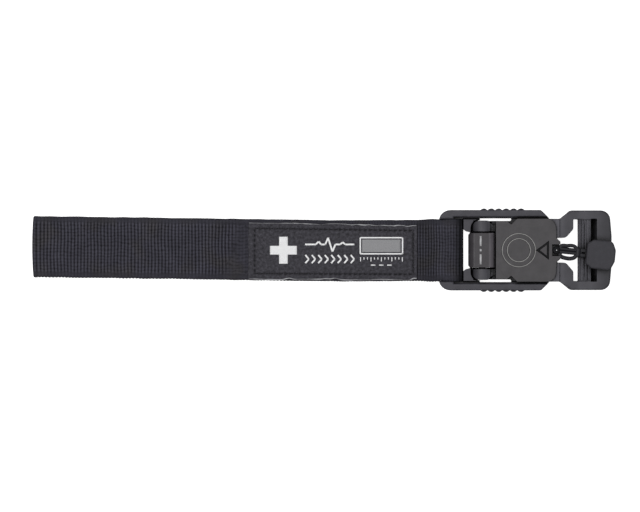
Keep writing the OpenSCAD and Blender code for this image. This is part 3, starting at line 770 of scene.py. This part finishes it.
def make_label():
    """The label's cloth: a puckered sheet with walls down to the webbing all round."""
    count_x, count_y = 260, 84
    stations = np.linspace(LABEL_X0, LABEL_X1, count_x)
    x, v = np.meshgrid(stations, np.linspace(0.0, 1.0, count_y), indexing="ij")
    y = label_edge(x, -1) * (1 - v) + label_edge(x, 1) * v
    near_end = np.abs(2 * label_share(x) - 1) ** 30
    x = x + 0.1 * waves(y, 0.0, 31, 6, 0.05, 0.3) * near_end
    lip = np.minimum(np.minimum(v, 1 - v) * 23, np.minimum(x - LABEL_X0, LABEL_X1 - x))
    height = label_height(x, y) - 0.14 * np.exp(-((lip / 0.35) ** 2))
    top = np.stack([x + BUCKLE_X, y, LABEL_Z + height], axis=2).reshape(-1, 3)
    under = np.stack([x + BUCKLE_X, y, np.full_like(x, LABEL_Z - 0.1)], axis=2).reshape(-1, 3)
    index = np.arange(count_x * count_y).reshape(count_x, count_y)
    corners = [index[:-1, :-1], index[1:, :-1], index[1:, 1:], index[:-1, 1:]]
    sheet = np.stack(corners, axis=2).reshape(-1, 4)
    rim = np.concatenate([index[:, 0], index[-1, 1:], index[-2::-1, -1], index[0, -2:0:-1]])
    low = rim + index.size
    walls = np.stack([rim, low, np.roll(low, -1), np.roll(rim, -1)], axis=1)
    faces = [list(f) for f in sheet] + [[int(v) for v in w] for w in walls]
    obj = mesh_object("label_cloth", np.concatenate([top, under]), faces, LABEL_CLOTH)
    distance, along = seam_distance(x, y)
    # Painted shade along the pressed-down seam, deepest once every stitch pitch
    seam_shade = np.exp(-((distance / 0.5) ** 2)) * (0.2 + 0.8 * np.cos(math.pi * along / STITCH_PITCH) ** 6)
    write_map(obj.data, "seam_shade", np.tile(seam_shade.ravel(), 2))
    write_weave(obj.data, np.tile(x.ravel(), 2), np.tile(y.ravel(), 2))
    clean(obj.data)
    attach(obj, "strap")
    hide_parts("label")


def skin(rings):
    """Points and faces of a closed shape through rings that have the same number of points."""
    n = len(rings[0])
    faces = [
        (i * n + j, i * n + (j + 1) % n, (i + 1) * n + (j + 1) % n, (i + 1) * n + j)
        for i in range(len(rings) - 1)
        for j in range(n)
    ]
    last = (len(rings) - 1) * n
    faces += [tuple(reversed(range(n))), tuple(range(last, last + n))]
    return np.concatenate(rings), faces


def tube(points, radii, sides=8):
    """Points and faces of a closed round tube along a path, with a radius at each point."""
    p = np.array(points, float)
    r = np.broadcast_to(np.asarray(radii, float), (len(p),))
    tangent = np.gradient(p, axis=0)
    tangent /= np.linalg.norm(tangent, axis=1)[:, None]
    side = np.cross([0.0, 0.0, 1.0], tangent)
    length = np.linalg.norm(side, axis=1)[:, None]
    side = np.where(length < 1e-6, [1.0, 0.0, 0.0], side / np.maximum(length, 1e-6))
    lift = np.cross(tangent, side)
    angles = np.linspace(0, 2 * math.pi, sides, endpoint=False)
    rings = [
        c + r_i * (np.cos(angles)[:, None] * s + np.sin(angles)[:, None] * l)
        for c, r_i, s, l in zip(p, r, side, lift)
    ]
    return skin(rings)


def joined(name, pieces, material, body, replaced=()):
    """One object from several (points, faces). It rides on a body, or on none if it bends between two."""
    points, faces, start = [], [], 0
    for verts, quads in pieces:
        points.append(np.asarray(verts))
        faces += [tuple(i + start for i in f) for f in quads]
        start += len(verts)
    obj = mesh_object(name, np.concatenate(points), faces, material)
    clean(obj.data)
    if body:
        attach(obj, body)
    if replaced:
        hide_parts(*replaced)
    return obj


def on_label(x, y):
    """Height of the label's upper face."""
    return LABEL_Z + float(label_height(np.array(x), np.array(y)))


def on_run(_x, _y):
    """Height of the main run's upper face, the same everywhere."""
    return RUN_Z + WEB_T / 2


def stitch(a, b, height, radius):
    """One stitch from a to b: the thread comes up at a, arches over the cloth and goes down at b."""
    steps, dip = 8, 0.3
    line = []
    for i in range(steps + 1):
        t = i / steps
        x, y = a[0] + (b[0] - a[0]) * t, a[1] + (b[1] - a[1]) * t
        arch = math.sin(math.pi * t) ** 0.5
        line.append((x + BUCKLE_X, y, height(x, y) + 0.06 - dip * (1 - arch)))
    return tube(line, radius)


def seam(a, b, height, pitch, share, radius, slant):
    """A row of stitches from a to b. share is how much of the pitch a stitch fills, and slant is how many
    millimetres it goes sideways."""
    a, b = np.array(a, float), np.array(b, float)
    length = np.linalg.norm(b - a)
    count = max(1, int(round(length / pitch)))
    sideways = np.array([-(b - a)[1], (b - a)[0]]) / length * slant / 2
    row = []
    for i in range(count):
        start = a + (b - a) * (i + (1 - share) / 2) / count - sideways
        end = a + (b - a) * (i + 1 - (1 - share) / 2) / count + sideways
        row.append(stitch(start, end, height, radius))
    return row


def make_label_seam():
    """One row of stitches along each edge of the label."""
    ends = (LABEL_X0 + SEAM_LEFT, LABEL_X1 - SEAM_RIGHT)
    upper, lower = [[(x, seam_line(label_share(x), side)) for x in ends] for side in (1, -1)]
    rows = []
    for a, b in ((upper[0], upper[1]), (lower[0], lower[1]), (lower[0], upper[0]), (lower[1], upper[1])):
        rows += seam(a, b, on_label, STITCH_PITCH, share=0.52, radius=0.2, slant=0.35)
    joined("label_seam", rows, BLACK_THREAD, "strap", ["label_stitching"])


def make_box_seam():
    """A rectangle of stitches with a cross through it."""
    y = float(sway((BOX_LEFT + BOX_RIGHT) / 2))
    corners = [(x, y + side * BOX_HALF) for x in (BOX_LEFT, BOX_RIGHT) for side in (-1, 1)]
    rows = []
    for i, j in ((0, 1), (2, 3), (0, 2), (1, 3), (0, 3), (1, 2)):
        rows += seam(corners[i], corners[j], on_run, BOX_PITCH, share=0.7, radius=0.12, slant=0.2)
    joined("box_seam", rows, BOX_THREAD, "strap", ["box_stitching"])


def make_edge_threads():
    """Pale fused threads along the label's long edges, thick in places and nearly gone in others."""
    rows = []
    xs = np.linspace(LABEL_X0 + 0.3, LABEL_X1 - 0.3, 280)
    for side in (1, -1):
        y = label_edge(xs, side) + (0.06 if side > 0 else -0.14)
        z = LABEL_Z + (0.26 if side > 0 else 0.34) + 0.05 * waves(xs, 0.0, 27 + side, 6, 0.05, 0.4)
        radius = (0.19 if side > 0 else 0.22) + 0.06 * waves(xs, 0.0, 37 + side, 6, 0.02, 0.25)
        line = np.stack([xs + BUCKLE_X, y, z], axis=1)
        rows.append(tube(line, np.clip(radius, 0.09, 0.27), 6))
    joined("label_edge_cords", rows, PALE_THREAD, "strap", ["label_edge_threads"])


# ---- woven motif of the label


def thread_line(a, b, width):
    """A flat bundle of threads from a to b, lying on the label."""
    count = max(2, int(math.dist(a, b) / 0.8) + 1)
    line = []
    for t in np.linspace(0.0, 1.0, count + 1):
        x, y = a[0] + (b[0] - a[0]) * t, a[1] + (b[1] - a[1]) * t
        line.append((x + BUCKLE_X, y, on_label(x, y) + 0.03))
    return cord(line, width, 0.2, 10)


def filled_rows(x0, x1, y0, y1, pitch=0.4):
    """Rows of thread side by side that fill a rectangle."""
    count = max(1, int(round((y1 - y0) / pitch)))
    step = (y1 - y0) / count
    heights = [y0 + (i + 0.5) * step for i in range(count)]
    return [thread_line((x0, y), (x1, y), step * 1.05) for y in heights]


def make_motif():
    """Generic woven signs: a plain plus, a pulse line, chevrons, a blank write-on panel and a tick scale."""
    signs = []
    x, arm, reach = -65.0, 1.8, 5.6
    signs += filled_rows(x - reach, x + reach, -arm, arm)
    signs += filled_rows(x - arm, x + arm, arm, reach) + filled_rows(x - arm, x + arm, -reach, -arm)

    pulse = [
        (-56, 2.4), (-51.5, 2.4), (-50.4, 3.6), (-49.3, 2.4), (-47.6, 2.4), (-46.4, 5.2),
        (-44.6, -0.6), (-43.4, 2.4), (-41.4, 2.4), (-40.3, 3.3), (-39.2, 2.4), (-35.5, 2.4),
    ]
    signs += [thread_line(a, b, 0.75) for a, b in zip(pulse, pulse[1:])]

    row_y, pitch = -3.7, 2.7
    for i in range(8):
        tip = -54.4 + i * pitch
        signs += [thread_line((tip - 1.5, row_y + side * 1.7), (tip, row_y), 0.7) for side in (1, -1)]

    x0, x1, y0, y1 = -33.0, -15.4, -1.5, 5.2
    corners = [(x0, y0), (x1, y0), (x1, y1), (x0, y1), (x0, y0)]
    signs += [thread_line(a, b, 0.6) for a, b in zip(corners, corners[1:])]
    gaps = 12
    for i in range(gaps + 1):
        tick = x0 + 0.1 + i * (x1 - x0 - 0.2) / gaps
        signs.append(thread_line((tick, -2.9), (tick, -4.7 if i % 3 == 0 else -3.9), 0.4))
    signs += [thread_line((x, -6.2), (x + 1.9, -6.2), 0.45) for x in (-28.6, -25.2, -21.8)]
    joined("label_signs", signs, WHITE_THREAD, "strap")
    inset = 0.75
    panel = filled_rows(x0 + inset, x1 - inset, y0 + inset, y1 - inset, 0.42)
    joined("label_panel", panel, PANEL_THREAD, "strap")


# ---- buckle


def on_rail_rim(a, b):
    """Upper outer edge of the frame's rails."""
    top = edges("buckle_frame")[1].z
    on_top = min(a.z, b.z) > top - FLUSH and min(abs(a.y), abs(b.y)) > RAIL_Y - 0.5
    inner = all(abs(abs(p.y) - RAIL_Y) < 0.05 for p in (a, b))
    return on_top and not inner


def on_lug(*points):
    """Edges and faces of the upper half of the frame's two lugs, which are left sharp."""
    (x0, x1), (y0, y1) = LUG_X, LUG_Y
    near = all(x0 < p.x - BUCKLE_X < x1 and y0 < abs(p.y) < y1 for p in points)
    heights = [p.z for p in points]
    return near and (max(heights) > LUG_TOP or min(heights) > LUG_FOOT)


def on_adjuster_rim(a, b):
    """Upper outer edge of the webbing adjuster."""
    mid = (a + b) / 2
    x = mid.x - BUCKLE_X
    on_rim = x > ADJUSTER_X and (abs(mid.y) > ADJUSTER_RIM_Y or x > ADJUSTER_RIM_X)
    return on_rim and min(a.z, b.z) > ADJUSTER_TOP - FLUSH


def make_buckle():
    """The moulded pieces with their edges rounded, and the materials of the pieces kept as they are."""
    moulded("buckle_frame", FRAME_PLASTIC, "frame", 0.2, wide=(on_rail_rim, 0.75), spared=on_lug)
    moulded("barrel", BARREL_PLASTIC, "frame", 0.25)
    moulded("insert_base", INSERT_PLASTIC, "insert", 0.25, wide=(on_adjuster_rim, 1.0))
    moulded("cover_plate", COVER_PLASTIC, "insert", 0.12)
    moulded("slider", SLIDER_PLASTIC, "slider", 0.2)
    moulded("pull_knob", KNOB_RUBBER, "knob", 0.9, steps=5)
    moulded("pull_post", POST_STEEL, "slider", 0.12)
    kept = {
        "cross_pin": POST_STEEL, "frame_magnets": MAGNET_PLATE, "magnet_caps": FRAME_PLASTIC,
        "keeper_plate": PIN_STEEL, "cover_screws": PIN_STEEL, "insert_magnets": MAGNET_PLATE,
        "latch_tongue": PIN_STEEL, "tongue_rivets": PIN_STEEL,
    }
    for name, material in kept.items():
        give_material(nodes[name].data, material)


def make_springs():
    """The two flat springs, which the slider presses together against the insert's end wall."""
    springs = linked("return_springs_bending", nodes["return_springs"].data.copy())
    give_material(springs.data, PIN_STEEL)
    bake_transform(springs)
    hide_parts("return_springs")


def make_ring_line(name, radius, z):
    """A thin pale line round a circle on the cover."""
    angles = np.linspace(0.0, 2 * math.pi, 97)
    x, y = RING_X + BUCKLE_X + radius * np.cos(angles), radius * np.sin(angles)
    path = np.stack([x, y, np.full_like(angles, z)], axis=1)
    joined(name + "_ring_line", [tube(path, RING_LINE / 2)], MARK_PLASTIC, "insert")


def arrow_outline(low, high):
    """Points and faces of the arrow's black outline of painted shade: a mitred triangular frame that fills
    the engraving.
    """
    tip, back, half = ARROW_TIP_X, ARROW_BACK_X, ARROW_HALF
    side = math.hypot(back - tip, half)
    inner_radius = half * (back - tip) / (half + side)
    centre = back - inner_radius
    share = 1 - ARROW_LINE / inner_radius
    outer = [(tip, 0.0), (back, half), (back, -half)]
    inner = [(centre + (x - centre) * share, y * share) for x, y in outer]
    points = [(x + BUCKLE_X, y, z) for z in (low, high) for x, y in outer + inner]
    faces = []
    for i in range(3):
        j = (i + 1) % 3
        faces += [(6 + i, 6 + j, 9 + j, 9 + i), (i, 3 + i, 3 + j, j)]
        faces += [(i, j, 6 + j, 6 + i), (3 + i, 9 + i, 9 + j, 3 + j)]
    return points, faces


def make_marks():
    """Pale lines in the cover's two rings, a black outline of painted shade in its arrow, and a plain mark
    on the barrel.
    """
    top = edges("cover_plate")[1].z
    for name, radius in RING_RADII.items():
        make_ring_line(name, radius, top - 0.13)
    joined("arrow_outline", [arrow_outline(top - 0.3, top + 0.02)], RECESS_SHADE, "insert")
    top = edges("barrel")[1].z
    x = MARK_X + BUCKLE_X
    dashes = [(5.9, 1.7), (0.5, -0.5), (-1.7, -5.9)]
    lines = [cord([(x, y0, top), (x, y1, top)], 0.8, 0.12, 10) for y0, y1 in dashes]
    joined("barrel_mark", lines, PRINT_INK, "frame")


def on_pull(x, y, z):
    """A point in the pull's own directions, from its post, as a point in the part's frame in millimetres."""
    c, s = math.cos(PULL_ANGLE), math.sin(PULL_ANGLE)
    return (POST_X + BUCKLE_X + x * c - y * s, x * s + y * c, z)


def smooth_line(points, count):
    """An even curve through the given points (Catmull-Rom)."""
    p = np.array([points[0], *points, points[-1]], float)
    out = []
    for i in range(1, len(p) - 2):
        t = np.linspace(0, 1, count // (len(p) - 3) + 1, endpoint=i == len(p) - 3)[:, None]
        a, b, c, d = p[i - 1], p[i], p[i + 1], p[i + 2]
        bend, twist = 2 * a - 5 * b + 4 * c - d, 3 * b - a - 3 * c + d
        out.append(0.5 * (2 * b + (c - a) * t + bend * t**2 + twist * t**3))
    return np.concatenate(out)


def cord(points, width, height, sides=14):
    """Points and faces of a bar with an oval section along a level path."""
    verts, faces = tube(points, 1.0, sides)
    centre = np.repeat(np.array(points, float), sides, axis=0)
    return centre + (verts - centre) * (width / 2, width / 2, height / 2), faces


def make_pull_loop():
    """Two bowed arms and two straight strands between an eye and a square end."""
    upper = [
        (1.5, 1.1), (1.8, 1.95), (2.8, 2.25), (4.3, 2.3),
        (5.7, 2.55), (7.0, 2.45), (7.9, 1.9), (8.4, 1.2),
    ]
    lower = [
        (1.5, -1.1), (1.8, -2.1), (2.8, -2.65), (4.3, -2.9),
        (5.9, -2.9), (7.3, -2.5), (8.1, -1.8), (8.5, -1.1),
    ]
    parts = []
    for arm, width in ((upper, 1.55), (lower, 1.7)):
        path = [on_pull(x, y, PULL_Z) for x, y in smooth_line(arm, 48)]
        parts.append(cord(path, width, 1.3))
    for y in (0.83, -0.5):
        strand = [on_pull(x, y, PULL_Z + 0.1) for x in np.linspace(1.3, 8.4, 24)]
        parts.append(cord(strand, 1.4, 1.15))
    turn = np.linspace(0, 2 * math.pi, 49)
    eye = [on_pull(1.22 * math.cos(a), 1.22 * math.sin(a), PULL_Z) for a in turn]
    parts.append(cord(eye, 0.95, 1.2))
    end = [on_pull(8.0, 0, PULL_Z), on_pull(9.99, 0, PULL_Z)]
    parts.append(block_bar(end, 3.4, 1.3))
    joined("pull_loop_arms", parts, PULL_RUBBER, "pull", ["pull_loop"])


def make_pull_neck():
    """Two bars side by side, tied at both ends, which bend between the pull and the knob."""
    neck = []
    for sign in (1, -1):
        line = [on_pull(x, sign * 0.98, PULL_Z) for x in (10.02, 10.4, 12.1, 12.48)]
        neck.append(block_bar(line, 1.42, 1.3))
    for a, b in ((10.02, 10.45), (12.0, 12.48)):
        neck.append(block_bar([on_pull(a, 0, PULL_Z), on_pull(b, 0, PULL_Z)], 1.0, 1.2))
    bars = joined("pull_neck_bars", neck, PULL_RUBBER, None, ["pull_neck"])
    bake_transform(bars)


def make_post_tip():
    """The bright tip of the post in the eye of the loop."""
    dot = [on_pull(0, 0, z) for z in (8.3, 8.52, 8.58)]
    joined("post_tip", [tube(dot, [0.34, 0.3, 0.14], 20)], PIN_STEEL, "slider")


def block_bar(points, width, height):
    """Points and faces of a bar with a rounded square section along a level path."""
    rounding = 0.3
    p = np.array(points, float)
    tangent = np.gradient(p, axis=0)
    tangent /= np.linalg.norm(tangent, axis=1)[:, None]
    side = np.cross([0.0, 0.0, 1.0], tangent)
    section = []
    for i, (sx, sz) in enumerate(((1, 1), (-1, 1), (-1, -1), (1, -1))):
        for k in range(5):
            angle = math.radians(90 * i + 22.5 * k)
            section.append((sx * (width / 2 - rounding) + rounding * math.cos(angle),
                            sz * (height / 2 - rounding) + rounding * math.sin(angle)))
    rings = [c + np.array([u * s + np.array([0, 0, w]) for u, w in section]) for c, s in zip(p, side)]
    return skin(rings)


# ---- light and camera


def emptied_tree(owner):
    """The node tree of a world or a material, without any nodes."""
    owner.use_nodes = True
    owner.node_tree.nodes.clear()
    return owner.node_tree


def camera_mix(tree, lighting, seen):
    """One shader for what the camera sees, and another for all other rays."""
    camera_ray = add(tree, "ShaderNodeLightPath").outputs["Is Camera Ray"]
    inputs = {0: camera_ray, 1: lighting.outputs[0], 2: seen.outputs[0]}
    return add(tree, "ShaderNodeMixShader", inputs).outputs[0]


def make_world():
    """Soft light from a wide overhead dome that falls off towards the horizon."""
    world = bpy.data.worlds.new("studio")
    bpy.context.scene.world = world
    tree = emptied_tree(world)
    direction = add(tree, "ShaderNodeTexCoord").outputs["Generated"]
    up = add(tree, "ShaderNodeSeparateXYZ", {"Vector": direction}).outputs["Z"]
    strength = ramp(tree, math_node(tree, "POWER", up, DOME_FOCUS), 0.0, 1.0, DOME_LOW, DOME_HIGH)
    seen = add(tree, "ShaderNodeBackground", {"Color": (1, 1, 1, 1), "Strength": 1.0})
    light = add(tree, "ShaderNodeBackground", {"Color": (1, 1, 1, 1), "Strength": strength})
    add(tree, "ShaderNodeOutputWorld", {"Surface": camera_mix(tree, light, seen)})


def make_floor():
    """A plain white floor. The camera sees it glow, so only a faint contact shadow is left on it."""
    signs = ((-1, -1), (1, -1), (1, 1), (-1, 1))
    corners = [(x * FLOOR_REACH, y * FLOOR_REACH, -FLOOR_GAP) for x, y in signs]
    material = bpy.data.materials.new("floor_white")
    tree = emptied_tree(material)
    matte = add(tree, "ShaderNodeBsdfDiffuse", {"Color": (0.6, 0.6, 0.6, 1)})
    glow = add(tree, "ShaderNodeEmission", {"Color": (1, 1, 1, 1), "Strength": FLOOR_GLOW})
    lit = add(tree, "ShaderNodeAddShader", {0: matte.outputs[0], 1: glow.outputs[0]})
    add(tree, "ShaderNodeOutputMaterial", {"Surface": camera_mix(tree, matte, lit)})
    mesh_object("floor", corners, [(0, 1, 2, 3)], material)


def area_light(name, location, size, power):
    """A square light in metres and watts, turned to the object."""
    data = bpy.data.lights.new(name, "AREA")
    data.shape = "SQUARE"
    data.size = size
    data.energy = power
    obj = linked(name, data)
    obj.location = location
    obj.rotation_euler = (-Vector(location)).to_track_quat("-Z", "Y").to_euler()


def make_camera():
    """Straight above the object, through a long lens."""
    data = bpy.data.cameras.new("camera")
    data.lens = LENS
    data.sensor_width = SENSOR_WIDTH
    data.clip_start = 0.05
    data.clip_end = 10.0
    camera = linked("camera", data)
    distance = SEEN_WIDTH * LENS / SENSOR_WIDTH
    camera.location = Vector((CAMERA_X, CAMERA_Y, distance + SEEN_Z)) * MM
    bpy.context.scene.camera = camera


# ---- the whole object


bpy.context.scene.view_settings.view_transform = "Standard"
make_buckle_end()
make_far_end()
make_label()
make_label_seam()
make_box_seam()
make_edge_threads()
make_motif()
make_buckle()
make_springs()
make_marks()
make_pull_loop()
make_pull_neck()
make_post_tip()
make_world()
make_floor()
area_light("key", location=(-0.3, 0.15, 0.85), size=0.5, power=4.0)
make_camera()
